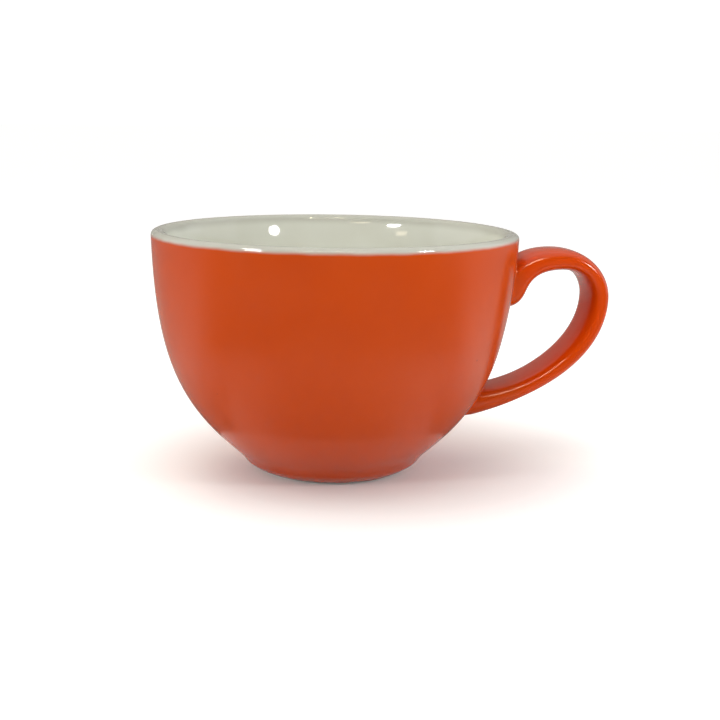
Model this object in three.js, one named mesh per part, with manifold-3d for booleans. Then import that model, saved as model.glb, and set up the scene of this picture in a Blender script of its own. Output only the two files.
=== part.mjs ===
// A latte cup in glazed porcelain: a deep rounded bowl on a small tapered foot, with a strap
// handle luted to its side. The inside and the lip are glazed white, the outside orange.
// Millimetres, +Z up, standing on Z = 0 with the handle towards +X. The origin lies under the
// middle of the whole cup, handle included.

import * as THREE from "three";
import { mergeVertices } from "three/addons/utils/BufferGeometryUtils.js";
import Module from "manifold-3d";

// Bowl, measured over the glaze
const RIM_DIAMETER = 110;
const CUP_HEIGHT = 73.8;
const WALL = 5.4;
const LIP = 4.2; // thickness of the wall where it rounds over at the rim
const LIP_HEIGHT = 1.6; // height of the rounding
const LIP_TAPER = 8; // depth over which most of the thinning to the lip takes place
const RIM_FLARE = 1.5; // degrees from upright where the wall meets the lip
const RIM_PULL = 38.8; // how far the direction at the rim carries down the wall
const BELLY_RISE = 40; // degrees from level where the belly leaves the foot
const BELLY_PULL = 23.2; // how far that direction carries up the belly
const FLOOR = 6; // from the middle of the inside down to the well under the foot
const FLOOR_CURVE = 17; // height over the floor where the inside wall starts to round into it

// Sag of the rim over the handle, whose weight draws the wall out and down in the kiln
const SAG_OUT = 1;
const SAG_DOWN = 0.32;
const SAG_DEPTH = 34; // from the lip down to where the wall is true again
const SAG_SPREAD = 38; // degrees round from the handle over which most of it dies away

// Foot
const NECK_DIAMETER = 57.3; // crease between the belly and the foot
const FOOT_HEIGHT = 5.5;
const FOOT_DIAMETER = 41.7; // outer edge of the ring that touches the table
const FOOT_SHOULDER_DIAMETER = 54.4; // corner that the rounded side of the foot is drawn towards
const FOOT_SHOULDER_HEIGHT = 2;
const FOOT_RING = 3; // width of the ring that touches the table
const WELL_DEPTH = 2.6;
const WELL_TAPER = 1.4; // how far the side of the well leans in over its depth

// Glaze
const GLAZE = 0.4;
const COLOUR_DROP = 1.5; // from the top of the lip down to where white meets orange
const BARE_FOOT = 0.7; // height of the band by the table that is left unglazed

// Handle, measured over the glaze
const HANDLE_REACH = 31.3; // how far the handle stands out past the rim
const HANDLE_WIDTH = 17.6;
const HANDLE_SQUARENESS = 2.7; // 2 is an ellipse, more is a squarer section
const ARM_THICKNESS = 5.6;
const BACK_THICKNESS = 6.4;
const UPPER_ROOT_THICKNESS = 11.2;
const LOWER_ROOT_THICKNESS = 8.7;
const UPPER_SWELL = 1.45; // arcs of the centreline over which the upper root thins to the arm
const UPPER_SWELL_POWER = 1.34; // 1 thins evenly, more thins faster near the bowl
const LOWER_SWELL = 0.43; // arcs over which the arm thickens into the lower root
const LOWER_SWELL_POWER = 2;
const UPPER_ROOT_DROP = 18.4; // lip to the middle of the upper root
const UPPER_ROOT_SINK = 0.3; // how far the centreline starts inside the bowl's surface
const UPPER_ROOT_RISE = 7; // degrees from level
const UPPER_ROOT_PULL = 2.4;
const PEAK_DROP = 9.1; // lip to the centreline's highest point
const PEAK_OUT = 15.1; // rim to that point
const PEAK_PULL_IN = 13.6;
const PEAK_PULL_OUT = 10;
const BACK_DROP = 21; // lip to the outermost point
const BACK_PULL_UP = 4.3;
const BACK_PULL_DOWN = 17.8;
const LOWER_ROOT_HEIGHT = 20.2;
const LOWER_ROOT_RISE = 7; // degrees from level
const LOWER_ROOT_PULL = 19;
const ROOT_OVERRUN = 7; // length of strap run on into the wall before it is trimmed

// Luted joints between the handle and the bowl
const SLIP = 0.6;
const SLIP_OVERHANG = 0.5; // how far the slip squeezes out round the strap
const SEAT_GAP = 0.25; // hairline left between pieces that are cut to fit one another

// Facets
const TURN_STEPS = 48;
const BELLY_STEPS = 10;
const FOOT_STEPS = 3;
const LIP_STEPS = 6;
const INNER_WALL_STEPS = 6;
const FLOOR_STEPS = 5;
const SECTION_STEPS = 16;
const ARM_STEPS = 7;
const SHOULDER_STEPS = 8;
const TAIL_STEPS = 12;

const WHITE_GLAZE = 0xd6d6c6;
const ORANGE_GLAZE = 0xc24a17;
const PORCELAIN = 0xdcd6c8;

const rimRadius = RIM_DIAMETER / 2;
const floorHeight = WELL_DEPTH + FLOOR;
const colourHeight = CUP_HEIGHT - COLOUR_DROP;

const v2 = (r, z) => new THREE.Vector2(r, z);
const rad = THREE.MathUtils.degToRad;

const wasm = await Module();
wasm.setup();

// Parameter between lo and hi at which a rising height function reaches the given height
function solveHeight(heightAt, height, lo = 0, hi = 1) {
  for (let i = 0; i < 50; i++) {
    const mid = (lo + hi) / 2;
    if (heightAt(mid) < height) lo = mid;
    else hi = mid;
  }
  return (lo + hi) / 2;
}

function sample(curve, steps, from = 0, to = 1) {
  const points = [];
  for (let i = 0; i <= steps; i++) {
    points.push(curve.getPoint(from + ((to - from) * i) / steps));
  }
  return points;
}

// Outside of the bowl from the crease over the foot up to the lip, as one Bezier curve
const flare = rad(RIM_FLARE);
const wallTop = v2(rimRadius, CUP_HEIGHT - LIP_HEIGHT);
const neck = v2(NECK_DIAMETER / 2, FOOT_HEIGHT);
const rise = rad(BELLY_RISE);
const belly = new THREE.CubicBezierCurve(
  neck,
  neck.clone().add(v2(Math.cos(rise), Math.sin(rise)).multiplyScalar(BELLY_PULL)),
  wallTop.clone().sub(v2(Math.sin(flare), Math.cos(flare)).multiplyScalar(RIM_PULL)),
  wallTop,
);
const footSide = new THREE.QuadraticBezierCurve(
  neck,
  v2(FOOT_SHOULDER_DIAMETER / 2, FOOT_SHOULDER_HEIGHT),
  v2(FOOT_DIAMETER / 2, 0),
);

// Inside of the wall, which follows the outside and thins towards the lip
function innerWall(t) {
  const along = belly.getTangent(t);
  const place = belly.getPoint(t);
  const thickness = WALL - (WALL - LIP) * Math.exp((place.y - wallTop.y) / LIP_TAPER);
  return place.add(v2(-along.y, along.x).multiplyScalar(thickness));
}

// Rounding over the rim, drawn out of the directions of the two sides of the wall
function lipCurve() {
  const step = 1 / BELLY_STEPS / INNER_WALL_STEPS;
  const inner = innerWall(1);
  const innerWay = inner.clone().sub(innerWall(1 - step)).normalize();
  const pull = LIP_HEIGHT / 0.75; // a cubic arch stands three quarters of its pull high
  return new THREE.CubicBezierCurve(
    inner,
    inner.clone().addScaledVector(innerWay, pull),
    wallTop.clone().addScaledVector(belly.getTangent(1), pull),
    wallTop,
  );
}

// Glazed surface from the middle of the floor, up the inside, over the lip and down to the table
function glazedOutline() {
  const turn = solveHeight((t) => innerWall(t).y, floorHeight + FLOOR_CURVE);
  const turnPoint = innerWall(turn);
  const slope = belly.getTangent(turn);
  const floorCorner = v2(turnPoint.x - (FLOOR_CURVE * slope.x) / slope.y, floorHeight);
  const floor = new THREE.QuadraticBezierCurve(v2(0, floorHeight), floorCorner, turnPoint);
  const points = sample(floor, FLOOR_STEPS);
  for (let i = 1; i < INNER_WALL_STEPS; i++) {
    points.push(innerWall(turn + ((1 - turn) * i) / INNER_WALL_STEPS));
  }
  points.push(...sample(lipCurve(), LIP_STEPS));
  points.push(...sample(belly, BELLY_STEPS).reverse().slice(1));
  points.push(...sample(footSide, FOOT_STEPS).slice(1));
  return points;
}

// Cuts a line that comes down the outside at a height; both parts share the new point
function splitOutside(points, height) {
  const last = points.findLastIndex((p) => p.y > height);
  const a = points[last];
  const b = points[last + 1];
  const cut = a.clone().lerp(b, (a.y - height) / (a.y - b.y));
  return [[...points.slice(0, last + 1), cut], [cut, ...points.slice(last + 1)]];
}

// Points moved square to the line, to its right hand side where the distance is positive
function offset(points, distance) {
  return points.map((p, i) => {
    const before = p.clone().sub(points[Math.max(i - 1, 0)]).normalize();
    const after = points[Math.min(i + 1, points.length - 1)].clone().sub(p).normalize();
    const from = before.lengthSq() > 0 ? before : after;
    const to = after.lengthSq() > 0 ? after : before;
    const mean = v2(from.y + to.y, -from.x - to.x).normalize();
    const reach = distance / (mean.x * from.y - mean.y * from.x);
    return v2(p.x + mean.x * reach, p.y + mean.y * reach);
  });
}

// Welds shared corners and drops the slivers that collapse on the axis
function weld(geometry) {
  geometry.deleteAttribute("normal");
  geometry.deleteAttribute("uv");
  const merged = mergeVertices(geometry);
  const index = merged.getIndex().array;
  const kept = [];
  for (let i = 0; i < index.length; i += 3) {
    const [a, b, c] = [index[i], index[i + 1], index[i + 2]];
    if (a !== b && b !== c && c !== a) kept.push(a, b, c);
  }
  merged.setIndex(kept);
  return merged;
}

// Moves the corners of a turned form by the sag of the rim
function sag(geometry) {
  const corners = geometry.getAttribute("position");
  for (let i = 0; i < corners.count; i++) {
    const [x, y, z] = [corners.getX(i), corners.getY(i), corners.getZ(i)];
    const round = Math.atan2(y, x) / rad(SAG_SPREAD);
    const up = THREE.MathUtils.smoothstep(z, CUP_HEIGHT - SAG_DEPTH, CUP_HEIGHT);
    const share = up * Math.exp(-(round ** 2)) * ((x * x + y * y) / rimRadius ** 2);
    const widen = 1 + (SAG_OUT * share) / rimRadius;
    corners.setXYZ(i, x * widen, y * widen, z - SAG_DOWN * share);
  }
  return geometry;
}

// Solid turned about the upright axis; the outline runs with the material on its left
function turned(outline) {
  const geometry = new THREE.LatheGeometry(outline, TURN_STEPS);
  return sag(weld(geometry.rotateX(Math.PI / 2)));
}

// The same, with its facets split the way they are in a neighbour that shares part of the outline
function turnedAgainst(outline) {
  const geometry = turned(outline.toReversed());
  const index = geometry.getIndex().array;
  for (let i = 0; i < index.length; i += 3) {
    [index[i], index[i + 1]] = [index[i + 1], index[i]];
  }
  return geometry;
}

function solid(geometry) {
  return new wasm.Manifold(
    new wasm.Mesh({
      numProp: 3,
      vertProperties: new Float32Array(geometry.getAttribute("position").array),
      triVerts: new Uint32Array(geometry.getIndex().array),
    }),
  );
}

function geometryOf(body) {
  const mesh = body.getMesh();
  const geometry = new THREE.BufferGeometry();
  geometry.setAttribute("position", new THREE.BufferAttribute(new Float32Array(mesh.vertProperties), 3));
  geometry.setIndex(new THREE.BufferAttribute(new Uint32Array(mesh.triVerts), 1));
  return geometry;
}

// Outlines of the glaze and of the clay under it, point for point
const skin = glazedOutline();
const [glazedSkin] = splitOutside(skin, BARE_FOOT);
const [whiteSkin] = splitOutside(glazedSkin, colourHeight);
const orangeSkin = [whiteSkin.at(-1), ...glazedSkin.slice(whiteSkin.length - 1)];
const fullSkin = [...whiteSkin, ...orangeSkin.slice(1)];
const fullClay = offset(fullSkin, GLAZE);
fullClay[0].x = 0;
const whiteClay = fullClay.slice(0, whiteSkin.length);
const orangeClay = fullClay.slice(whiteSkin.length - 1);

// Well under the foot, from its middle out to the ring that touches the table
const ringInner = FOOT_DIAMETER / 2 - FOOT_RING;
const wellSkin = [v2(0, WELL_DEPTH), v2(ringInner - WELL_TAPER, WELL_DEPTH), v2(ringInner, 0)];
const [wellGlazed] = splitOutside(wellSkin, BARE_FOOT);
const wellClay = offset(wellGlazed, -GLAZE);
wellClay[0].x = 0;

const bowlOutline = [
  ...wellClay,
  v2(ringInner, 0),
  v2(FOOT_DIAMETER / 2, 0),
  ...fullClay.toReversed(),
];

// Centreline of the strap from the upper root over the peak and the back to the lower root
function bowlRadius(height) {
  return belly.getPoint(solveHeight((t) => belly.getPoint(t).y, height)).x;
}

const upperHeight = CUP_HEIGHT - UPPER_ROOT_DROP;
const upperRoot = v2(bowlRadius(upperHeight) - UPPER_ROOT_SINK, upperHeight);
const upperWay = v2(Math.cos(rad(UPPER_ROOT_RISE)), Math.sin(rad(UPPER_ROOT_RISE)));
const peak = v2(rimRadius + PEAK_OUT, CUP_HEIGHT - PEAK_DROP);
const back = v2(rimRadius + HANDLE_REACH - BACK_THICKNESS / 2, CUP_HEIGHT - BACK_DROP);
const lowerRoot = v2(bowlRadius(LOWER_ROOT_HEIGHT), LOWER_ROOT_HEIGHT);
const lowerWay = v2(Math.cos(rad(LOWER_ROOT_RISE)), Math.sin(rad(LOWER_ROOT_RISE)));

const upperArm = new THREE.CubicBezierCurve(
  upperRoot,
  upperRoot.clone().addScaledVector(upperWay, UPPER_ROOT_PULL),
  v2(peak.x - PEAK_PULL_IN, peak.y),
  peak,
);
const shoulder = new THREE.CubicBezierCurve(
  peak,
  v2(peak.x + PEAK_PULL_OUT, peak.y),
  v2(back.x, back.y + BACK_PULL_UP),
  back,
);
const tail = new THREE.CubicBezierCurve(
  back,
  v2(back.x, back.y - BACK_PULL_DOWN),
  lowerRoot.clone().addScaledVector(lowerWay, LOWER_ROOT_PULL),
  lowerRoot,
);

// The strap swells into its upper root, at the back and into its lower root. The station counts
// the arcs of the centreline from the upper root on.
function strapThickness(station) {
  const [backStation, endStation] = [2, 3];
  const intoUpper = Math.max(0, 1 - station / UPPER_SWELL) ** UPPER_SWELL_POWER;
  const atBack = THREE.MathUtils.smoothstep(1 - Math.abs(station - backStation), 0, 1);
  const intoLower = Math.max(0, 1 - (endStation - station) / LOWER_SWELL) ** LOWER_SWELL_POWER;
  return (
    ARM_THICKNESS +
    (UPPER_ROOT_THICKNESS - ARM_THICKNESS) * intoUpper +
    (BACK_THICKNESS - ARM_THICKNESS) * atBack +
    (LOWER_ROOT_THICKNESS - ARM_THICKNESS) * intoLower
  );
}

// Stations along the strap, each with its place, its outward direction and its thickness
function strapStations() {
  const stations = [];
  const arcs = [[upperArm, ARM_STEPS], [shoulder, SHOULDER_STEPS], [tail, TAIL_STEPS]];
  arcs.forEach(([curve, steps], k) => {
    for (let i = k === 0 ? 0 : 1; i <= steps; i++) {
      const along = curve.getTangent(i / steps);
      stations.push({
        place: curve.getPoint(i / steps),
        along,
        out: v2(-along.y, along.x),
        thickness: strapThickness(k + i / steps),
      });
    }
  });
  const [first, last] = [stations[0], stations.at(-1)];
  const before = first.place.clone().addScaledVector(first.along, -ROOT_OVERRUN);
  const beyond = last.place.clone().addScaledVector(last.along, ROOT_OVERRUN);
  return [{ ...first, place: before }, ...stations, { ...last, place: beyond }];
}

const stations = strapStations();

// Rings of corners round the strap, each a rounded rectangle grown by the given amount
function strapRings(grow) {
  const power = 2 / HANDLE_SQUARENESS;
  const bow = (x) => Math.sign(x) * Math.abs(x) ** power;
  return stations.map(({ place, out, thickness }) => {
    const ring = [];
    for (let i = 0; i < SECTION_STEPS; i++) {
      const angle = (2 * Math.PI * i) / SECTION_STEPS;
      const across = bow(Math.cos(angle)) * (thickness / 2 + grow);
      const side = bow(Math.sin(angle)) * (HANDLE_WIDTH / 2 + grow);
      ring.push(new THREE.Vector3(place.x + out.x * across, side, place.y + out.y * across));
    }
    return ring;
  });
}

// Solid strap: rings joined one to the next, closed through a point at the middle of either end
function strap(grow) {
  const middle = ({ place }) => Array(SECTION_STEPS).fill(new THREE.Vector3(place.x, 0, place.y));
  const rings = [middle(stations[0]), ...strapRings(grow), middle(stations.at(-1))];
  const points = rings.flat().flatMap((p) => [p.x, p.y, p.z]);
  const index = [];
  for (let k = 0; k + 1 < rings.length; k++) {
    for (let i = 0; i < SECTION_STEPS; i++) {
      const j = (i + 1) % SECTION_STEPS;
      const [a, b] = [k * SECTION_STEPS + i, k * SECTION_STEPS + j];
      const [c, d] = [a + SECTION_STEPS, b + SECTION_STEPS];
      index.push(a, d, b, a, c, d);
    }
  }
  const geometry = new THREE.BufferGeometry();
  geometry.setAttribute("position", new THREE.Float32BufferAttribute(points, 3));
  geometry.setIndex(index);
  return solid(weld(geometry));
}

// Body of the bowl filled to its axis and grown, which trims the strap to fit the bowl
function bowlForm(grow) {
  const side = offset(orangeClay, -grow);
  return turned([v2(0, side.at(-1).y), ...side.toReversed(), v2(0, side[0].y)]);
}

// Layer that follows the outside of the bowl between two distances from the clay
function bowlLayer(line, inner, outer) {
  const near = offset(line, -inner);
  const far = offset(line, -outer);
  return turned([...far.toReversed(), ...near, far.at(-1)]);
}

const splitHeight = (upperHeight + LOWER_ROOT_HEIGHT) / 2;
const [upperLine, lowerLine] = splitOutside(orangeClay, splitHeight);
const slipBody = strap(SLIP_OVERHANG);
const slipJoint = (line) => solid(bowlLayer(line, SEAT_GAP, SEAT_GAP + SLIP)).intersect(slipBody);
const trim = solid(bowlForm(SEAT_GAP + SLIP + SEAT_GAP));
const rootOpening = strap(SLIP_OVERHANG + SEAT_GAP);
const clayStrap = strap(-GLAZE);

const innerGlaze = turned([...whiteClay, ...whiteSkin.toReversed()]);
const outerGlaze = solid(turned([...orangeSkin.toReversed(), ...orangeClay, orangeSkin.at(-1)]));
const wellGlaze = turned([...wellGlazed, ...wellClay.toReversed()]);

const porcelain = new THREE.MeshStandardMaterial({ color: PORCELAIN, roughness: 0.75, metalness: 0 });
const white = new THREE.MeshStandardMaterial({ color: WHITE_GLAZE, roughness: 0.12, metalness: 0 });
const orange = new THREE.MeshStandardMaterial({ color: ORANGE_GLAZE, roughness: 0.15, metalness: 0 });

const cup = new THREE.Group();
cup.position.x = -HANDLE_REACH / 2;

function piece(name, geometry, material) {
  geometry.computeVertexNormals();
  const mesh = new THREE.Mesh(geometry, material);
  mesh.name = name;
  cup.add(mesh);
}

piece("bowl", turnedAgainst(bowlOutline), porcelain);
piece("handle", geometryOf(clayStrap.subtract(trim)), porcelain);
piece("upper_slip_joint", geometryOf(slipJoint(upperLine)), porcelain);
piece("lower_slip_joint", geometryOf(slipJoint(lowerLine)), porcelain);
piece("inner_glaze", innerGlaze, white);
piece("outer_glaze", geometryOf(outerGlaze.subtract(rootOpening)), orange);
piece("handle_glaze", geometryOf(strap(0).subtract(clayStrap).subtract(trim)), orange);
piece("foot_well_glaze", wellGlaze, white);

const part = new THREE.Group();
part.add(cup);

export default part;
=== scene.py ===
"""Latte cup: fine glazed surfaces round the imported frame, with soft studio light and a camera."""

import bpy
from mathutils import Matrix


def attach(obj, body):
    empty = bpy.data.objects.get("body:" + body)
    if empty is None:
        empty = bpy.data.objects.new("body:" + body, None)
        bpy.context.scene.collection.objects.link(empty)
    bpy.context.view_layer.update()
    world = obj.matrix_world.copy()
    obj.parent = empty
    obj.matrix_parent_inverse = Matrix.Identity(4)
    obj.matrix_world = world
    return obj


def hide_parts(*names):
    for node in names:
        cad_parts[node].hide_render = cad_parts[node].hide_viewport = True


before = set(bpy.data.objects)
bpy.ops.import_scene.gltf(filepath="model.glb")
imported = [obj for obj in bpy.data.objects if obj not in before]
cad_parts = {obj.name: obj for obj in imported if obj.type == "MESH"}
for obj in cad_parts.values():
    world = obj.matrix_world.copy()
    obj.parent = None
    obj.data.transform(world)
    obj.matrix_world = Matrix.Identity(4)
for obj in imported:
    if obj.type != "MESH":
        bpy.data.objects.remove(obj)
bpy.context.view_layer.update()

import math

import bmesh
import bpy
import numpy as np
from mathutils import Matrix, Vector

MM = 0.001
AXIS_X = -15.65  # the bowl's upright axis in the part's frame, mm

# Bowl, mm over the glaze
RIM_RADIUS = 55.0
CUP_HEIGHT = 73.8
WALL = 5.4
LIP = 4.2
LIP_HEIGHT = 1.6
LIP_TAPER = 8.0
RIM_FLARE = math.radians(1.5)
RIM_PULL = 38.8
BELLY_RISE = math.radians(40)
BELLY_PULL = 23.2
FLOOR = 6.0
FLOOR_CURVE = 17.0

# Sag of the rim over the handle, mm
SAG_OUT = 1.0
SAG_DOWN = 0.32
SAG_DEPTH = 34.0
SAG_SPREAD = math.radians(38)

# Foot, mm. The edges of its ring are (outward, upward) from the ring's two corners.
NECK_RADIUS = 28.65
NECK_ROUNDING = 2.6
FOOT_HEIGHT = 5.5
FOOT_RADIUS = 20.85
FOOT_SHOULDER = (27.2, 2.0)
FOOT_RING = 3.0
RING_INNER_EDGE = ((-0.15, 0.35), (0.1, 0.08), (0.35, 0))
RING_OUTER_EDGE = ((-0.35, 0), (0.1, 0.03), (0.6, 0.16))
WELL_DEPTH = 2.6
WELL_TAPER = 1.4
WELL_ROUNDING = 2.5
WELL_SIDE_ROUNDED = 0.45  # share of the well's side that is part of the rounding

# Glaze, mm
GLAZE = 0.4
COLOUR_DROP = 1.5
BARE_FOOT = 0.7
COAT_BULGE = 0.25  # of the round edge in which the orange coat ends
COAT_WANDER = 0.3  # of that edge, up and down
COAT_WANDER_POINTS = 6  # points on either side of its tip that move with it, and as many that fade

# Handle, mm over the glaze
HANDLE_REACH = 31.3
HANDLE_WIDTH = 17.6
SQUARENESS = 2.7
ARM, BACK, UPPER_ROOT, LOWER_ROOT = 5.6, 6.4, 11.2, 8.7
UPPER_SWELL, UPPER_SWELL_POWER = 1.45, 1.34
LOWER_SWELL, LOWER_SWELL_POWER = 0.43, 2.0
FILLET = 1.9
FILLET_TUCK = 0.3  # of the fillet's edge under the bowl's surface

# Centreline of the handle, mm: its roots, its highest and farthest places, and the pulls of its curves
UPPER_DROP = 18.4
UPPER_HEIGHT, LOWER_HEIGHT = CUP_HEIGHT - UPPER_DROP, 20.2
UPPER_SINK = 0.3
ROOT_RISE = math.radians(7)
ROOT_OVERRUN = 9
PEAK_OUT, PEAK_DROP = 15.1, 9.1
BACK_DROP = 21
UPPER_PULL, LOWER_PULL = 2.4, 19
PEAK_PULL_IN, PEAK_PULL_OUT = 13.6, 10
BACK_PULL_UP, BACK_PULL_DOWN = 4.3, 17.8

# Fineness of the curves and meshes
TURN_STEPS = 256
FLOOR_STEPS, WALL_STEPS, LIP_STEPS = 32, 56, 32
SIDE_STEPS, NECK_STEPS, FOOT_STEPS = 160, 12, 60
WELL_STEPS, WELL_ROUND_STEPS, NOSE_STEPS = 8, 12, 8
ARC_STEPS, OVERRUN_STEPS = 240, 60
HANDLE_LINES, HANDLE_STATIONS, FILLET_STEPS = 128, 220, 10
SEARCH_STEPS = 4000
NUDGE = 1e-4  # small step along a curve, for its slope
ON_AXIS = 1e-6  # radius below which a point is on the axis
SHARP = math.radians(40)


def even(steps):
    """Parameters from 0 to 1 in even steps."""
    return np.linspace(0, 1, steps + 1)


def eased(share):
    """Share between 0 and 1 that starts and ends gently."""
    return share * share * (3 - 2 * share)


def unit(vectors):
    """Rows scaled to length 1."""
    return vectors / np.linalg.norm(vectors, axis=1, keepdims=True)


def bezier(points, t):
    """Points of a quadratic or cubic Bezier curve at the parameters t."""
    p = np.asarray(points, float)
    t = np.asarray(t, float)[:, None]
    while len(p) > 1:
        p = [(1 - t) * a + t * b for a, b in zip(p[:-1], p[1:])]
    return p[0]


def directions(points):
    """Unit direction of a line at each of its points."""
    return unit(np.gradient(points, axis=0))


def offset(points, distance):
    """Line moved square to itself, to its right where the distance is positive."""
    d = directions(points)
    return points + distance * np.stack([d[:, 1], -d[:, 0]], 1)


def cut_below(points, height):
    """Part of a line coming down that stays above a height, ending on it."""
    k = np.max(np.nonzero(points[:, 1] > height))
    a, b = points[k], points[k + 1]
    return np.vstack([points[: k + 1], a + (b - a) * (a[1] - height) / (a[1] - b[1])])


# Outlines of the bowl as (radius, height)
WALL_TOP = np.array([RIM_RADIUS, CUP_HEIGHT - LIP_HEIGHT])
WALL_WAY = np.array([math.sin(RIM_FLARE), math.cos(RIM_FLARE)])
NECK = np.array([NECK_RADIUS, FOOT_HEIGHT])
BELLY = [
    NECK,
    NECK + BELLY_PULL * np.array([math.cos(BELLY_RISE), math.sin(BELLY_RISE)]),
    WALL_TOP - RIM_PULL * WALL_WAY,
    WALL_TOP,
]
ARCH_RISE = 0.75  # how far a cubic arch rises, as a share of its two pulls


def inner_wall(t):
    """Inside of the wall beside the given places on the outside."""
    place = bezier(BELLY, t)
    along = unit(bezier(BELLY, t + NUDGE) - bezier(BELLY, t - NUDGE))
    thick = WALL - (WALL - LIP) * np.exp((place[:, 1] - WALL_TOP[1]) / LIP_TAPER)
    return place + thick[:, None] * np.stack([-along[:, 1], along[:, 0]], 1)


def clear_of_neck(points):
    """Points that the rounding at the neck leaves alone."""
    return points[np.linalg.norm(points - NECK, axis=1) > NECK_ROUNDING]


def glazed_outline():
    """Glazed surface from the middle of the floor, up the inside, over the lip and down to the table."""
    floor_height = WELL_DEPTH + FLOOR
    t = even(SEARCH_STEPS)
    turn = np.interp(floor_height + FLOOR_CURVE, inner_wall(t)[:, 1], t)
    start = inner_wall(np.array([turn]))[0]
    slope = bezier(BELLY, np.array([turn + NUDGE]))[0] - bezier(BELLY, np.array([turn]))[0]
    corner = (start[0] - FLOOR_CURVE * slope[0] / slope[1], floor_height)
    floor = bezier([(0, floor_height), corner, start], even(FLOOR_STEPS))
    wall = inner_wall(np.linspace(turn, 1, WALL_STEPS + 1))
    pull = LIP_HEIGHT / ARCH_RISE
    lip = [wall[-1], wall[-1] + directions(wall)[-1] * pull, WALL_TOP + WALL_WAY * pull, WALL_TOP]
    foot = [NECK, FOOT_SHOULDER, (FOOT_RADIUS, 0)]
    outside = clear_of_neck(bezier(BELLY, np.linspace(1, 0, SIDE_STEPS + 1)))
    foot_side = clear_of_neck(bezier(foot, even(FOOT_STEPS)))
    neck = bezier([outside[-1], NECK, foot_side[0]], even(NECK_STEPS))
    return np.vstack([
        floor[:-1],
        wall[:-1],
        bezier(lip, even(LIP_STEPS))[:-1],
        outside[:-1],
        neck[:-1],
        foot_side,
    ])


SKIN = glazed_outline()
CREST = int(np.argmax(SKIN[:, 1]))


def sag_share(points):
    """How much of the sag each point takes."""
    x, y, z = points.T
    up = eased(np.clip(1 - (CUP_HEIGHT - z) / SAG_DEPTH, 0, 1))
    return up * np.exp(-((np.arctan2(y, x) / SAG_SPREAD) ** 2)) * (x * x + y * y) / RIM_RADIUS**2


def sagged(points):
    """Points of the true bowl moved by the sag of the rim."""
    share = sag_share(points)
    widen = 1 + SAG_OUT * share / RIM_RADIUS
    return np.stack([points[:, 0] * widen, points[:, 1] * widen, points[:, 2] - SAG_DOWN * share], 1)


RIPPLE_SEED = 11
RIPPLE_WAVES = (2, 3, 5, 8, 13, 21)  # waves round the bowl
RIPPLE_SPAN = 2.2  # about the most that the waves add up to


def ripple(angle):
    """Gentle unevenness round the bowl, between about -1 and 1."""
    rng = np.random.default_rng(RIPPLE_SEED)
    total = np.zeros_like(angle)
    for n in RIPPLE_WAVES:
        total += math.sqrt(2 / n) * np.sin(n * angle + rng.uniform(0, 2 * math.pi))
    return total / RIPPLE_SPAN


def make_mesh(name, points, faces):
    """Smooth mesh object from points in mm about the bowl's axis, riding on the cup."""
    points = (np.asarray(points, float) + [AXIS_X, 0, 0]) * MM
    mesh = bpy.data.meshes.new(name)
    mesh.from_pydata(points.tolist(), [], faces)
    work = bmesh.new()
    work.from_mesh(mesh)
    bmesh.ops.recalc_face_normals(work, faces=work.faces)
    work.to_mesh(mesh)
    work.free()
    mesh.shade_smooth()
    mesh.set_sharp_from_angle(angle=SHARP)
    obj = bpy.data.objects.new(name, mesh)
    bpy.context.collection.objects.link(obj)
    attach(obj, "root")
    return obj


def turned(name, outline, shift=None):
    """Closed mesh turned about the axis. The outline starts and ends on the axis or closes on itself.

    shift gives, for each point of the outline, how far it slides along it as the ripple goes round."""
    angle = np.linspace(0, 2 * math.pi, TURN_STEPS, endpoint=False)
    wave = ripple(angle)
    along = directions(outline)
    shift = np.zeros(len(outline)) if shift is None else shift
    points, rings, faces = [], [], []
    for i, (r, z) in enumerate(outline):
        if r < ON_AXIS:
            rings.append([len(points)])
            points.append((0, 0, z))
            continue
        slide = shift[i] * wave
        radius = r + slide * along[i, 0]
        height = z + slide * along[i, 1]
        rings.append(list(range(len(points), len(points) + TURN_STEPS)))
        points.extend(zip(radius * np.cos(angle), radius * np.sin(angle), height))
    closed = len(rings[0]) > 1
    for k in range(len(rings) if closed else len(rings) - 1):
        a, b = rings[k], rings[(k + 1) % len(rings)]
        for i in range(TURN_STEPS):
            j = (i + 1) % TURN_STEPS
            corners = [a[i % len(a)], a[j % len(a)], b[j % len(b)], b[i % len(b)]]
            faces.append(list(dict.fromkeys(corners)))
    return make_mesh(name, sagged(np.array(points)), faces)


def rounded_end(skin_end, clay_end, bulge):
    """Round nose of a coat from its surface round to the clay."""
    middle = (skin_end + clay_end) / 2
    half = (skin_end - clay_end) / 2
    ahead = np.array([half[1], -half[0]])
    ahead *= bulge / np.linalg.norm(ahead)
    turn = np.linspace(0, math.pi, NOSE_STEPS + 1)[1:-1, None]
    return middle + np.cos(turn) * half + np.sin(turn) * ahead


# Bowl, coats of glaze and the well under the foot
glazed = cut_below(SKIN, BARE_FOOT)
white = cut_below(glazed, CUP_HEIGHT - COLOUR_DROP)
orange = np.vstack([white[-1:], glazed[len(white) - 1 :]])
clay = offset(np.vstack([white, orange[1:]]), GLAZE)
clay[0, 0] = 0
white_clay = clay[: len(white)]
orange_clay = clay[len(white) - 1 :]

ring_inner = FOOT_RADIUS - FOOT_RING
well_top = np.array([ring_inner - WELL_TAPER, WELL_DEPTH])
well_side = np.array([ring_inner, 0]) - well_top
well_stop = well_top + well_side * (1 - BARE_FOOT / WELL_DEPTH)
well_bend = [well_top - (WELL_ROUNDING, 0), well_top, well_top + well_side * WELL_SIDE_ROUNDED]
well_round = bezier(well_bend, even(WELL_ROUND_STEPS))
well_middle = np.linspace(0, well_round[0, 0], WELL_STEPS + 1)[:-1]
well_flat = np.stack([well_middle, np.full(WELL_STEPS, WELL_DEPTH)], 1)
well = np.vstack([well_flat, well_round, well_stop])
well_clay = offset(well, -GLAZE)
well_clay[0, 0] = 0

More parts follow.
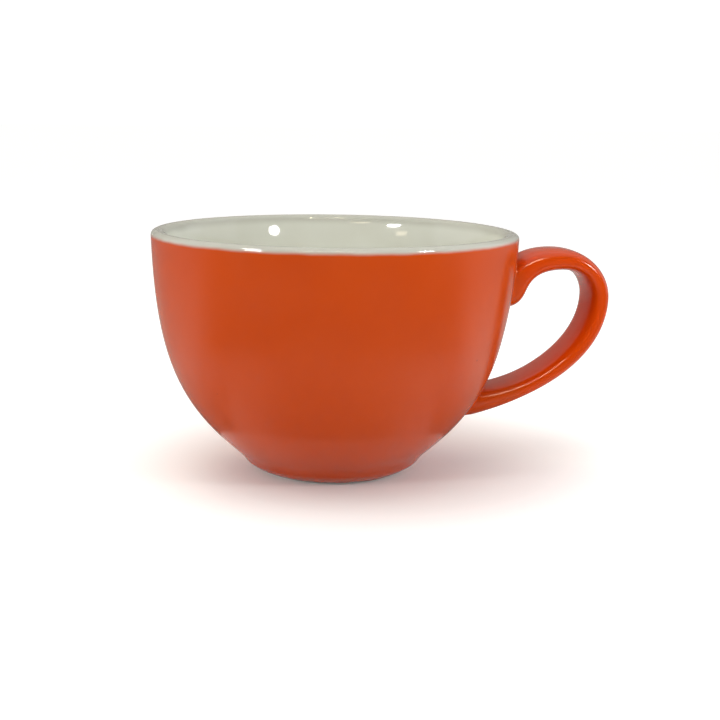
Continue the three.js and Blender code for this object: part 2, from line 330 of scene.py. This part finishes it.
contact = np.vstack([
    np.array(RING_INNER_EDGE) + (ring_inner, 0),
    np.array(RING_OUTER_EDGE) + (FOOT_RADIUS, 0),
])
bowl = turned("bowl_body", np.vstack([well_clay, contact, clay[::-1]]))
inner = turned("inner_coat", np.vstack([white_clay, white[::-1]]))

nose = rounded_end(orange[-1], orange_clay[-1], COAT_BULGE)
coat_line = np.vstack([orange, nose, orange_clay[::-1]])
from_tip = np.abs(np.arange(len(coat_line)) - (len(orange) + len(nose) / 2 - 0.5))
moved = np.clip(1 - (from_tip - COAT_WANDER_POINTS) / COAT_WANDER_POINTS, 0, 1)
outer = turned("outer_coat", coat_line, shift=COAT_WANDER * moved)
well_coat = turned("foot_well_coat", np.vstack([well, well_clay[::-1]]))


# Handle: a strap lofted along its centreline, rounded into the bowl at both roots
def bowl_radius(height):
    """Radius of the true glazed outside at a height."""
    line = SKIN[CREST:][::-1]
    return np.interp(height, line[:, 1], line[:, 0])


def side_radius(points):
    """Radius of the sagged outside beside each point."""
    round_to = bowl_radius(points[:, 2]) / np.hypot(points[:, 0], points[:, 1])
    share = sag_share(points * np.stack([round_to, round_to, np.ones_like(round_to)], 1))
    return bowl_radius(points[:, 2] + SAG_DOWN * share) * (1 + SAG_OUT * share / RIM_RADIUS)


def bowl_normal(points):
    """Outward normals of the glazed outside near the given points."""
    step = np.array([0, 0, 0.05])
    slope = (side_radius(points + step) - side_radius(points - step)) / (2 * step[2])
    radius = np.hypot(points[:, 0], points[:, 1])
    return unit(np.stack([points[:, 0] / radius, points[:, 1] / radius, -slope], 1))


def onto_bowl(points):
    """Points moved level onto the glazed outside."""
    scale = side_radius(points) / np.hypot(points[:, 0], points[:, 1])
    return points * np.stack([scale, scale, np.ones_like(scale)], 1)


def strap_line():
    """Dense stations along the strap: place and outward direction in the X-Z plane, and thickness.

    A station counts the three arcs: 0 at the upper root, 2 at the back and 3 at the lower root."""
    upper = np.array([bowl_radius(UPPER_HEIGHT) - UPPER_SINK, UPPER_HEIGHT])
    peak = np.array([RIM_RADIUS + PEAK_OUT, CUP_HEIGHT - PEAK_DROP])
    back = np.array([RIM_RADIUS + HANDLE_REACH - BACK / 2, CUP_HEIGHT - BACK_DROP])
    lower = np.array([bowl_radius(LOWER_HEIGHT), LOWER_HEIGHT])
    root_way = np.array([math.cos(ROOT_RISE), math.sin(ROOT_RISE)])
    arcs = [
        [upper, upper + UPPER_PULL * root_way, peak - (PEAK_PULL_IN, 0), peak],
        [peak, peak + (PEAK_PULL_OUT, 0), back + (0, BACK_PULL_UP), back],
        [back, back - (0, BACK_PULL_DOWN), lower + LOWER_PULL * root_way, lower],
    ]
    t = even(ARC_STEPS)
    place, station = [], []
    for k, arc in enumerate(arcs):
        place.append(bezier(arc, t)[1 if k else 0 :])
        station.append(k + t[1 if k else 0 :])
    place, station = np.vstack(place), np.concatenate(station)
    overrun = np.linspace(ROOT_OVERRUN, 0, OVERRUN_STEPS + 1)[:-1, None]
    place = np.vstack([place[0] - overrun * root_way, place, lower - overrun[::-1] * root_way])
    station = np.concatenate([np.zeros(OVERRUN_STEPS), station, np.full(OVERRUN_STEPS, 3.0)])
    along = directions(place)
    into_upper = np.clip(1 - station / UPPER_SWELL, 0, None) ** UPPER_SWELL_POWER
    at_back = eased(np.clip(1 - np.abs(station - 2), 0, 1))
    into_lower = np.clip(1 - (3 - station) / LOWER_SWELL, 0, None) ** LOWER_SWELL_POWER
    thick = ARM + (UPPER_ROOT - ARM) * into_upper + (BACK - ARM) * at_back
    thick = thick + (LOWER_ROOT - ARM) * into_lower
    return place, np.stack([-along[:, 1], along[:, 0]], 1), thick


def strap_generators():
    """Lines that run the length of the strap, as an array of (line, station, xyz)."""
    place, out, thick = strap_line()
    angle = np.linspace(0, 2 * math.pi, HANDLE_LINES, endpoint=False)
    c, s = np.cos(angle), np.sin(angle)
    size = (np.abs(c) ** SQUARENESS + np.abs(s) ** SQUARENESS) ** (-1 / SQUARENESS)
    across = (size * c)[:, None] * thick / 2
    side = np.repeat((size * s)[:, None] * HANDLE_WIDTH / 2, len(thick), axis=1)
    return np.stack([place[:, 0] + across * out[:, 0], side, place[:, 1] + across * out[:, 1]], -1)


def trimmed(line):
    """Lengths along a generator where it leaves the bowl and where it comes back, and its lengths."""
    gap = np.hypot(line[:, 0], line[:, 1]) - side_radius(line)
    length = np.concatenate([[0], np.cumsum(np.linalg.norm(np.diff(line, axis=0), axis=1))])
    out = np.nonzero((gap[:-1] < 0) & (gap[1:] >= 0))[0][0]
    back = np.nonzero((gap[:-1] >= 0) & (gap[1:] < 0))[0][-1]
    start, end = [
        length[k] + (length[k + 1] - length[k]) * gap[k] / (gap[k] - gap[k + 1]) for k in (out, back)
    ]
    return start, end, length


def at_length(line, length, where):
    """Points of a line at the given lengths along it."""
    return np.stack([np.interp(where, length, line[:, k]) for k in range(3)], -1)


def handle_rings():
    """Rings of points from one root of the handle to the other, fillets included."""
    lines = strap_generators()
    centre = lines.mean(axis=0)
    fraction = even(HANDLE_STATIONS - 1)
    columns = []
    for line in lines:
        start, end, length = trimmed(line)
        body = at_length(line, length, start + FILLET + fraction * (end - start - 2 * FILLET))
        ends = []
        for cross, leave in ((start, body[0]), (end, body[-1])):
            root = at_length(line, length, np.array([cross]))
            normal = bowl_normal(root)
            middle = at_length(centre, length, np.array([cross]))
            away = root - onto_bowl(middle)
            away -= normal * np.sum(away * normal)
            land = onto_bowl(root + unit(away) * FILLET)
            curve = bezier(np.array([land[0], root[0], leave]), even(FILLET_STEPS)[:-1])
            under = land - bowl_normal(land) * FILLET_TUCK
            ends.append(np.vstack([under, curve]))
        columns.append(np.vstack([ends[0], body, ends[1][::-1]]))
    return np.stack(columns, 1)


def make_handle():
    """Glazed handle, closed at both ends inside the bowl's wall."""
    rings = handle_rings()
    steps, count = rings.shape[:2]
    points = np.vstack([rings.reshape(-1, 3), rings[0].mean(axis=0), rings[-1].mean(axis=0)])
    faces = []
    for k in range(steps - 1):
        for i in range(count):
            j = (i + 1) % count
            faces.append([k * count + i, k * count + j, (k + 1) * count + j, (k + 1) * count + i])
    for i in range(count):
        j = (i + 1) % count
        faces.append([steps * count, j, i])
        faces.append([steps * count + 1, (steps - 1) * count + i, (steps - 1) * count + j])
    return make_mesh("handle_coat", points, faces)


handle = make_handle()

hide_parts("bowl")
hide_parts("inner_glaze")
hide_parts("outer_glaze")
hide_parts("handle_glaze")
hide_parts("foot_well_glaze")


# Materials
class Nodes:
    """Short way to build a node tree."""

    def __init__(self, tree):
        self.tree = tree
        tree.nodes.clear()

    def put(self, socket, value):
        """Links a socket to another one, or sets its value."""
        if isinstance(value, bpy.types.NodeSocket):
            self.tree.links.new(value, socket)
        else:
            socket.default_value = value

    def add(self, kind, inputs=None, **settings):
        """New node with the given settings and inputs."""
        node = self.tree.nodes.new(kind)
        for key, value in settings.items():
            setattr(node, key, value)
        for key, value in (inputs or {}).items():
            self.put(node.inputs[key], value)
        return node

    def math(self, operation, a, b=0.0):
        return self.add("ShaderNodeMath", {0: a, 1: b}, operation=operation).outputs[0]

    def vector_math(self, operation, a, b=(0, 0, 0)):
        """A vector operation that gives one number."""
        return self.add("ShaderNodeVectorMath", {0: a, 1: b}, operation=operation).outputs["Value"]

    def axes(self, vector):
        return self.add("ShaderNodeSeparateXYZ", {"Vector": vector}).outputs

    def ramp(self, value, low, high, to_low=0.0, to_high=1.0, smooth=True):
        """Value taken from one range to another and held at its ends."""
        kind = "SMOOTHSTEP" if smooth else "LINEAR"
        inputs = {"Value": value, "From Min": low, "From Max": high, "To Min": to_low, "To Max": to_high}
        return self.add("ShaderNodeMapRange", inputs, interpolation_type=kind).outputs["Result"]

    def mix(self, factor, a, b):
        """Colour from a to b."""
        return self.add("ShaderNodeMix", {0: factor, 6: a, 7: b}, data_type="RGBA").outputs[2]

    def noise(self, place, scale, detail=2.0, roughness=0.5):
        inputs = {"Vector": place, "Scale": scale, "Detail": detail, "Roughness": roughness}
        return self.add("ShaderNodeTexNoise", inputs).outputs["Fac"]

    def specks(self, place, scale, share, size):
        """Sparse round spots: 1 inside a spot. share is the share of cells that have one."""
        cell = self.add("ShaderNodeTexVoronoi", {"Vector": place, "Scale": scale})
        chance = self.add("ShaderNodeSeparateColor", {"Color": cell.outputs["Color"]}).outputs[0]
        chosen = self.math("GREATER_THAN", chance, 1 - share)
        spot = self.ramp(cell.outputs["Distance"], size, size * 0.5)
        return self.math("MULTIPLY", chosen, spot)


def new_material(name):
    """Material with its node tree and the place on the surface, in metres."""
    material = bpy.data.materials.new(name)
    material.use_nodes = True
    nodes = Nodes(material.node_tree)
    place = nodes.add("ShaderNodeTexCoord").outputs["Object"]
    return material, nodes, place


def finish_material(nodes, inputs):
    """Surface shader with the given inputs."""
    shader = nodes.add("ShaderNodeBsdfPrincipled", inputs)
    nodes.add("ShaderNodeOutputMaterial", {"Surface": shader.outputs["BSDF"]})


WHITE = (0.7, 0.715, 0.65, 1)
# Darker white for the top of the lip: painted shade.
WHITE_LIP_PAINTED_SHADE = (0.505, 0.51, 0.45, 1)
WHITE_THIN = (0.67, 0.68, 0.605, 1)
ORANGE = (0.56, 0.062, 0.001, 1)
ORANGE_DEEP = (0.53, 0.056, 0.001, 1)
ORANGE_HANDLE = (0.61, 0.057, 0.001, 1)
PIT_WHITE = (0.10, 0.085, 0.06, 1)
PIT_ORANGE = (0.16, 0.02, 0.004, 1)
CLAY = (0.72, 0.68, 0.59, 1)
CLAY_CLOUD = (0.63, 0.58, 0.49, 1)
CLAY_GRAIN = (0.42, 0.37, 0.30, 1)

# Texture of the glaze: waves per metre and how much they rise, and specks as (per metre, share, size)
PEEL, PEEL_RISE = 420, 0.03
WAVES, WAVES_RISE = 45, 0.4
PIMPLES, PIMPLES_RISE = (240, 0.06, 0.16), 0.12
PITS_WHITE, PITS_ORANGE, PITS_SINK = (210, 0.012, 0.10), (190, 0.010, 0.08), 0.5
BUMP_STRENGTH, BUMP_DISTANCE = 0.25, 0.2 * MM

# Sheen of the glaze: lowest and highest roughness, and how much smoother the handle is
PATCHES = 90
GLOSSY = (0.03, 0.05)
SATIN = (0.2, 0.26)
HANDLE_POLISH = 0.11
GLAZE_IOR = 1.5
ORANGE_SPECULAR = 0.33

# Places where the glazes change, mm
LIP_SHADE_START, LIP_SHADE_FULL = 3.5, 0.5  # under the top of the lip, where the painted shade on the white begins and where it is full
LINE_LIFT = 0.02
LINE_SOFTNESS = 0.7
LINE_WANDER = 0.12
OVER_LIP_START, OVER_LIP_FULL = -0.2, 0.6  # out from the middle of the lip
STRAP_START, STRAP_FULL = 1, 5  # out from the rim


def glaze_surface(nodes, place, pits, share, gloss):
    """Normal and roughness of a glaze: faint orange peel, slow waves, pin holes and pimples.

    The white is glossy. The orange, by its share, has more of a satin face, less so on the handle."""
    peel = nodes.noise(place, PEEL, 1.0)
    waves = nodes.noise(place, WAVES, 1.0)
    pimples = nodes.specks(place, *PIMPLES)
    peel = nodes.math("MULTIPLY", peel, PEEL_RISE)
    waves = nodes.math("MULTIPLY", waves, WAVES_RISE)
    height = nodes.math("ADD", peel, waves)
    height = nodes.math("ADD", height, nodes.math("MULTIPLY", pimples, PIMPLES_RISE))
    height = nodes.math("SUBTRACT", height, nodes.math("MULTIPLY", pits, PITS_SINK))
    inputs = {"Strength": BUMP_STRENGTH, "Distance": BUMP_DISTANCE, "Height": height}
    bump = nodes.add("ShaderNodeBump", inputs)
    patch = nodes.noise(place, PATCHES, 3.0)
    glossy = nodes.ramp(patch, 0.3, 0.7, *GLOSSY)
    satin = nodes.ramp(patch, 0.3, 0.7, *SATIN)
    satin = nodes.math("SUBTRACT", satin, nodes.math("MULTIPLY", gloss, HANDLE_POLISH))
    extra = nodes.math("MULTIPLY", nodes.math("SUBTRACT", satin, glossy), nodes.ramp(share, 0.75, 1.0))
    return bump.outputs["Normal"], nodes.math("ADD", glossy, extra)


def glaze_tone(nodes, place):
    """Colours of both glazes, and where they are.

    White covers the inside and the lip and runs softly into orange. Besides the two colours this gives
    how far a place is below the colour line, outside the lip and on the strap, each from 0 to 1."""
    axes = nodes.axes(place)
    white = nodes.mix(nodes.ramp(nodes.noise(place, 40, 3.0), 0.35, 0.7), WHITE, WHITE_THIN)
    lip_start, lip_full = (CUP_HEIGHT - LIP_SHADE_START) * MM, (CUP_HEIGHT - LIP_SHADE_FULL) * MM
    # The white is painted darker towards the top of the lip: painted shade.
    lip_shade = nodes.ramp(axes["Z"], lip_start, lip_full)
    white = nodes.mix(lip_shade, white, WHITE_LIP_PAINTED_SHADE)
    orange = nodes.mix(nodes.ramp(nodes.noise(place, 30, 3.0), 0.3, 0.75), ORANGE, ORANGE_DEEP)
    wander = nodes.noise(place, 110, 2.0)
    wander = nodes.ramp(wander, 0.3, 0.7, -LINE_WANDER * MM, LINE_WANDER * MM, smooth=False)
    line = (CUP_HEIGHT - COLOUR_DROP + LINE_LIFT) * MM
    height = nodes.math("ADD", axes["Z"], wander)
    below = nodes.ramp(height, line + LINE_SOFTNESS * MM, line - LINE_SOFTNESS * MM)
    across = nodes.math("SUBTRACT", axes["X"], AXIS_X * MM)
    squares = [nodes.math("POWER", side, 2.0) for side in (across, axes["Y"])]
    radius = nodes.math("SQRT", nodes.math("ADD", *squares))
    middle = RIM_RADIUS - LIP / 2
    outside = nodes.ramp(radius, (middle + OVER_LIP_START) * MM, (middle + OVER_LIP_FULL) * MM)
    strap = nodes.ramp(radius, (RIM_RADIUS + STRAP_START) * MM, (RIM_RADIUS + STRAP_FULL) * MM)
    orange = nodes.mix(strap, orange, ORANGE_HANDLE)
    return white, orange, below, outside, strap


def white_glaze():
    """White glaze, with the orange that runs up over the edge of the lip."""
    material, nodes, place = new_material("white_glaze")
    pits = nodes.specks(place, *PITS_WHITE)
    white, orange, below, outside, strap = glaze_tone(nodes, place)
    share = nodes.math("MULTIPLY", below, outside)
    normal, rough = glaze_surface(nodes, place, pits, share, strap)
    white = nodes.mix(nodes.math("MULTIPLY", pits, 0.75), white, PIT_WHITE)
    tone = nodes.mix(share, white, orange)
    finish_material(nodes, {"Base Color": tone, "Roughness": rough, "Normal": normal, "IOR": GLAZE_IOR})
    return material


def orange_glaze():
    """Orange glaze, with the white that runs down into it under the lip."""
    material, nodes, place = new_material("orange_glaze")
    pits = nodes.specks(place, *PITS_ORANGE)
    white, orange, share, _, strap = glaze_tone(nodes, place)
    normal, rough = glaze_surface(nodes, place, pits, share, strap)
    orange = nodes.mix(nodes.math("MULTIPLY", pits, 0.6), orange, PIT_ORANGE)
    tone = nodes.mix(share, white, orange)
    finish_material(nodes, {
        "Base Color": tone, "Roughness": rough, "Normal": normal,
        "IOR": GLAZE_IOR, "Specular IOR Level": ORANGE_SPECULAR,
    })
    return material


def porcelain():
    """Bare fired clay: matt, a little cloudy, with a fine dark grain."""
    material, nodes, place = new_material("porcelain")
    grain = nodes.noise(place, 900, 4.0, 0.6)
    cloud = nodes.noise(place, 60, 3.0)
    tone = nodes.mix(nodes.ramp(cloud, 0.3, 0.7), CLAY, CLAY_CLOUD)
    tone = nodes.mix(nodes.ramp(grain, 0.55, 0.75, 0.0, 0.35), tone, CLAY_GRAIN)
    bump = nodes.add("ShaderNodeBump", {"Strength": 0.5, "Distance": 0.0001, "Height": grain})
    rough = nodes.ramp(grain, 0.3, 0.7, 0.62, 0.82)
    finish_material(nodes, {"Base Color": tone, "Roughness": rough, "Normal": bump.outputs["Normal"]})
    return material


WHITE_GLAZE, ORANGE_GLAZE, PORCELAIN = white_glaze(), orange_glaze(), porcelain()


def dress(obj, material):
    """Gives a piece its one material."""
    obj.data.materials.clear()
    obj.data.materials.append(material)


dress(bowl, PORCELAIN)
dress(inner, WHITE_GLAZE)
dress(well_coat, WHITE_GLAZE)
dress(outer, ORANGE_GLAZE)
dress(handle, ORANGE_GLAZE)
for name in ("handle", "upper_slip_joint", "lower_slip_joint"):
    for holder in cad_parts[name].material_slots:
        holder.material = PORCELAIN

# Stage, light and camera, about the bowl's axis and turned so that the camera is in front
VIEW_TURN = math.radians(-8)  # the camera looks from a little towards -X
STAGE = Matrix.Translation((AXIS_X * MM, 0, 0)) @ Matrix.Rotation(VIEW_TURN, 4, "Z")

# Floor and cards, m
FLOOR_HALF = 6
CARD_LIFT = 0.002
FLAG = {"left": -3, "right": 3, "depth": -0.7, "top": 1.5}
BACKING = {"left": -0.8, "right": 0.7, "depth": 0.62, "top": 0.7}
MAT_INNER, MAT_OUTER, MAT_LIFT, MAT_STEPS = 0.042, 0.9, 0.001, 64


def grey(level):
    return (level, level, level, 1)


def seen_directly(nodes):
    """1 for rays from the camera and for those off glossy or clear surfaces."""
    path = nodes.add("ShaderNodeLightPath").outputs
    seen = nodes.math("MAXIMUM", path["Is Camera Ray"], path["Is Glossy Ray"])
    return nodes.math("MAXIMUM", seen, path["Is Transmission Ray"])


def floor_material():
    """White floor that holds a shadow and meets the white background without an edge."""
    material, nodes, place = new_material("floor")
    tone = nodes.mix(nodes.noise(place, 8, 2.0), grey(0.79), grey(0.81))
    far = nodes.vector_math("LENGTH", place)
    # The glow is weaker close to the cup, so the floor round it is darker than its real shadow alone
    # makes it: painted shadow on top of the real one.
    glow = nodes.ramp(far, 0.03, 0.11, 0.1, 0.52)
    glow = nodes.math("MULTIPLY", seen_directly(nodes), glow)
    finish_material(nodes, {
        "Base Color": tone, "Roughness": 1.0, "Specular IOR Level": 0.0,
        "Emission Color": grey(1), "Emission Strength": glow,
    })
    return material


def dark_cloth():
    """Black cloth of the flag in front of the cup."""
    material, nodes, place = new_material("dark_cloth")
    tone = nodes.mix(nodes.noise(place, 30, 2.0), grey(0.012), grey(0.02))
    finish_material(nodes, {"Base Color": tone, "Roughness": 0.9, "Specular IOR Level": 0.0})
    return material


def grey_cloth():
    """Cloth behind the cup: grey by the table, running to white above."""
    material, nodes, place = new_material("grey_cloth")
    weave = nodes.ramp(nodes.noise(place, 30, 2.0), 0.3, 0.7, 0.0, 0.04)
    tone = nodes.math("ADD", nodes.ramp(nodes.axes(place)["Z"], 0.2, 0.6, 0.5, 0.95), weave)
    tone = nodes.mix(tone, grey(0), grey(1))
    finish_material(nodes, {"Base Color": tone, "Roughness": 0.9, "Specular IOR Level": 0.0})
    return material


def table_card():
    """Grey card round the cup: pale to either side and close in front, dark ahead and behind."""
    material, nodes, place = new_material("table_card")
    axes = nodes.axes(place)
    away = nodes.vector_math("LENGTH", place)
    back = nodes.math("DIVIDE", axes["Y"], away)
    behind = nodes.ramp(back, 0.0, 0.65, 1.0, 0.6)
    # Darker close to the cup at the sides and behind: painted shadow of the cup, as the glaze mirrors
    # it.
    under = nodes.math("MAXIMUM", nodes.ramp(back, -0.2, -0.6), nodes.ramp(away, 0.04, 0.12, 0.4, 1.0))
    close = nodes.ramp(away, 0.15, 0.085)
    far_ahead = nodes.ramp(back, 0.0, -0.4, 1.0, 0.22)
    near_ahead = nodes.ramp(back, -0.7, -1.0, 1.0, 0.62)
    paler = nodes.math("MULTIPLY", close, nodes.math("SUBTRACT", near_ahead, far_ahead))
    ahead = nodes.math("ADD", far_ahead, paler)
    right = nodes.ramp(axes["X"], -0.05, 0.1, 0.82, 0.96)
    lengthways = nodes.math("MULTIPLY", behind, ahead)
    tone = nodes.math("MULTIPLY", lengthways, nodes.math("MULTIPLY", under, right))
    tone = nodes.mix(tone, grey(0), grey(1))
    finish_material(nodes, {"Base Color": tone, "Roughness": 1.0, "Specular IOR Level": 0.0})
    return material


def staged(name, corners, faces, material):
    """Mesh object with its one material, linked into the scene."""
    mesh = bpy.data.meshes.new(name)
    mesh.from_pydata(corners, [], faces)
    mesh.materials.append(material)
    obj = bpy.data.objects.new(name, mesh)
    bpy.context.collection.objects.link(obj)
    return obj


def card(name, corners, faces, material):
    """Card that shades what the glaze mirrors, and nothing else."""
    obj = staged(name, corners, faces, material)
    obj.visible_camera = False
    obj.visible_diffuse = False
    obj.visible_shadow = False
    obj.matrix_world = STAGE


def upright(left, right, depth, top):
    """Corners of an upright card that faces the cup."""
    return [(left, depth, CARD_LIFT), (right, depth, CARD_LIFT), (right, depth, top), (left, depth, top)]


def level_ring(inner, outer, height, steps):
    """Corners and faces of a level ring."""
    angles = [math.tau * i / steps for i in range(steps)]
    corners = [(r * math.cos(a), r * math.sin(a), height) for r in (inner, outer) for a in angles]
    sides = [(i, (i + 1) % steps) for i in range(steps)]
    return corners, [(a, b, b + steps, a + steps) for a, b in sides]


FOUR_SIDES = [[0, 1, 2, 3]]
floor_corners = [(FLOOR_HALF * x, FLOOR_HALF * y, 0) for x, y in ((-1, -1), (1, -1), (1, 1), (-1, 1))]
staged("floor", floor_corners, FOUR_SIDES, floor_material())
card("flag", upright(**FLAG), FOUR_SIDES, dark_cloth())
card("backing", upright(**BACKING), FOUR_SIDES, grey_cloth())
card("mat", *level_ring(MAT_INNER, MAT_OUTER, MAT_LIFT, MAT_STEPS), table_card())

SKY_FRONT, SKY_BACK, SKY_TOP = 0.37, 1.12, 0.6
SKY_LEFT_TINT = (0.93, 0.91, 0.85, 1)


def make_sky():
    """Soft sky: dim in front, bright behind, warmer on the left, and plain white where it is seen."""
    world = bpy.data.worlds.new("tent")
    bpy.context.scene.world = world
    world.use_nodes = True
    sky = Nodes(world.node_tree)
    toward = sky.add("ShaderNodeTexCoord").outputs["Generated"]
    rightward, behind = [
        sky.vector_math("DOT_PRODUCT", toward, (STAGE.to_3x3() @ Vector(way)).to_tuple())
        for way in ((1, 0, 0), (0, 1, 0))
    ]
    seen = seen_directly(sky)
    around = sky.ramp(behind, -0.6, 0.2, SKY_FRONT, SKY_BACK)
    level = sky.math("MULTIPLY", around, sky.ramp(sky.axes(toward)["Z"], 0.3, 0.9, 1.0, SKY_TOP))
    level = sky.math("MAXIMUM", seen, level)
    plain = sky.math("MAXIMUM", seen, sky.ramp(rightward, -0.7, 0.1))
    tint = sky.mix(plain, SKY_LEFT_TINT, grey(1))
    shell = sky.add("ShaderNodeBackground", {"Color": tint, "Strength": level})
    sky.add("ShaderNodeOutputWorld", {"Surface": shell.outputs[0]})


make_sky()

PLAIN = (1, 1, 1)
CREAM = (1.0, 0.95, 0.86)
WARM = (1.0, 0.84, 0.6)


def lamp(name, place, target, size, size_y, radiance, colour=PLAIN, shape="ELLIPSE"):
    """Soft lamp given by how bright its face is. Places and sizes are in mm."""
    data = bpy.data.lights.new(name, "AREA")
    data.shape = shape
    data.size, data.size_y = size * MM, size_y * MM
    area = size * size_y * MM * MM * (math.pi / 4 if shape == "ELLIPSE" else 1)
    data.energy = radiance * math.pi * area
    data.color = colour
    obj = bpy.data.objects.new(name, data)
    aim = (Vector(target) - Vector(place)).to_track_quat("-Z", "Y").to_matrix().to_4x4()
    obj.matrix_world = STAGE @ Matrix.Translation(Vector(place) * MM) @ aim
    obj.visible_camera = False
    bpy.context.collection.objects.link(obj)
    return obj


def softbox(name, azimuth, height, distance, width, tall, radiance, colour=PLAIN):
    """Softbox aimed at the rim. Azimuth is degrees to the right of the front, height degrees up."""
    az, el = math.radians(azimuth), math.radians(height)
    target = Vector((0, 0, CUP_HEIGHT))
    away = Vector((math.sin(az) * math.cos(el), -math.cos(az) * math.cos(el), math.sin(el)))
    return lamp(name, target + distance * away, target, width, tall, radiance, colour, "RECTANGLE")


def catchlight(name, place, target, size, size_y, radiance, cone=16, shape="RECTANGLE"):
    """Lamp in a narrow cone, in degrees, that only shows as a highlight.

    The middle of the cone has the given radiance."""
    half = math.radians(cone / 2)
    obj = lamp(name, place, target, size, size_y, radiance * (1 - half / math.tan(half)), shape=shape)
    obj.data.spread = 2 * half
    obj.visible_diffuse = False
    return obj


lamp("lamp_right", (162.0, -134.7, 110.5), (-20.3, 46.0, 68.6), 32, 17, 90).visible_glossy = False
lamp("lamp_left", (-252.5, -234.1, 156.1), (19.6, 46.6, 70.4), 65, 11, 170)
catchlight("spot_inside", (158.4, -131.1, 109.7), (-20.3, 46.0, 68.6), 32, 17, 90, 24, "ELLIPSE")
catchlight("glint_left", (-187.7, -146.0, 233.6), (-21.9, -50.3, 72.9), 55, 30, 180)
catchlight("glint_right", (220.6, -162.5, 178.4), (24.4, -49.2, 72.7), 55, 30, 180)
catchlight("glint_shoulder", (166.4, -71.1, 100.1), (79.0, 2.3, 63.0), 40, 40, 90, 18, "ELLIPSE")
softbox("strip_top", -3, 51, 600, 380, 18, 140, WARM).visible_diffuse = False
softbox("key_top", -8, 65, 600, 450, 450, 2.0, CREAM).visible_glossy = False
softbox("back_left", -150, 48, 600, 300, 300, 2.5, WARM).visible_glossy = False
softbox("strip_low", -20, 15.5, 600, 150, 12, 9, WARM)
softbox("strip_side", -52, 9, 600, 85, 16, 6, WARM)

CAMERA_DISTANCE, CAMERA_HEIGHT = 396.27, 111.05
YAW, PITCH, ROLL = math.radians(1.214), math.radians(11.08), math.radians(0.814)
SENSOR_WIDTH, PICTURE_WIDTH = 36, 720
FOCAL = 1305.6 * SENSOR_WIDTH / PICTURE_WIDTH
CLIP_START = 0.01


def make_camera():
    """Camera in front of the cup, a little above it."""
    level_right = Vector((math.cos(YAW), -math.sin(YAW), 0))
    level_ahead = Vector((math.sin(YAW), math.cos(YAW), 0))
    ahead = math.cos(PITCH) * level_ahead - math.sin(PITCH) * Vector((0, 0, 1))
    level_up = level_right.cross(ahead)
    right = math.cos(ROLL) * level_right + math.sin(ROLL) * level_up
    up = math.cos(ROLL) * level_up - math.sin(ROLL) * level_right
    data = bpy.data.cameras.new("camera")
    data.sensor_width = SENSOR_WIDTH
    data.lens = FOCAL
    data.clip_start = CLIP_START
    camera = bpy.data.objects.new("camera", data)
    bpy.context.collection.objects.link(camera)
    turn = Matrix((right, up, -ahead)).transposed().to_4x4()
    place = Vector((0, -CAMERA_DISTANCE, CAMERA_HEIGHT)) * MM
    camera.matrix_world = STAGE @ Matrix.Translation(place) @ turn
    bpy.context.scene.camera = camera


make_camera()
bpy.context.scene.view_settings.view_transform = "Standard"
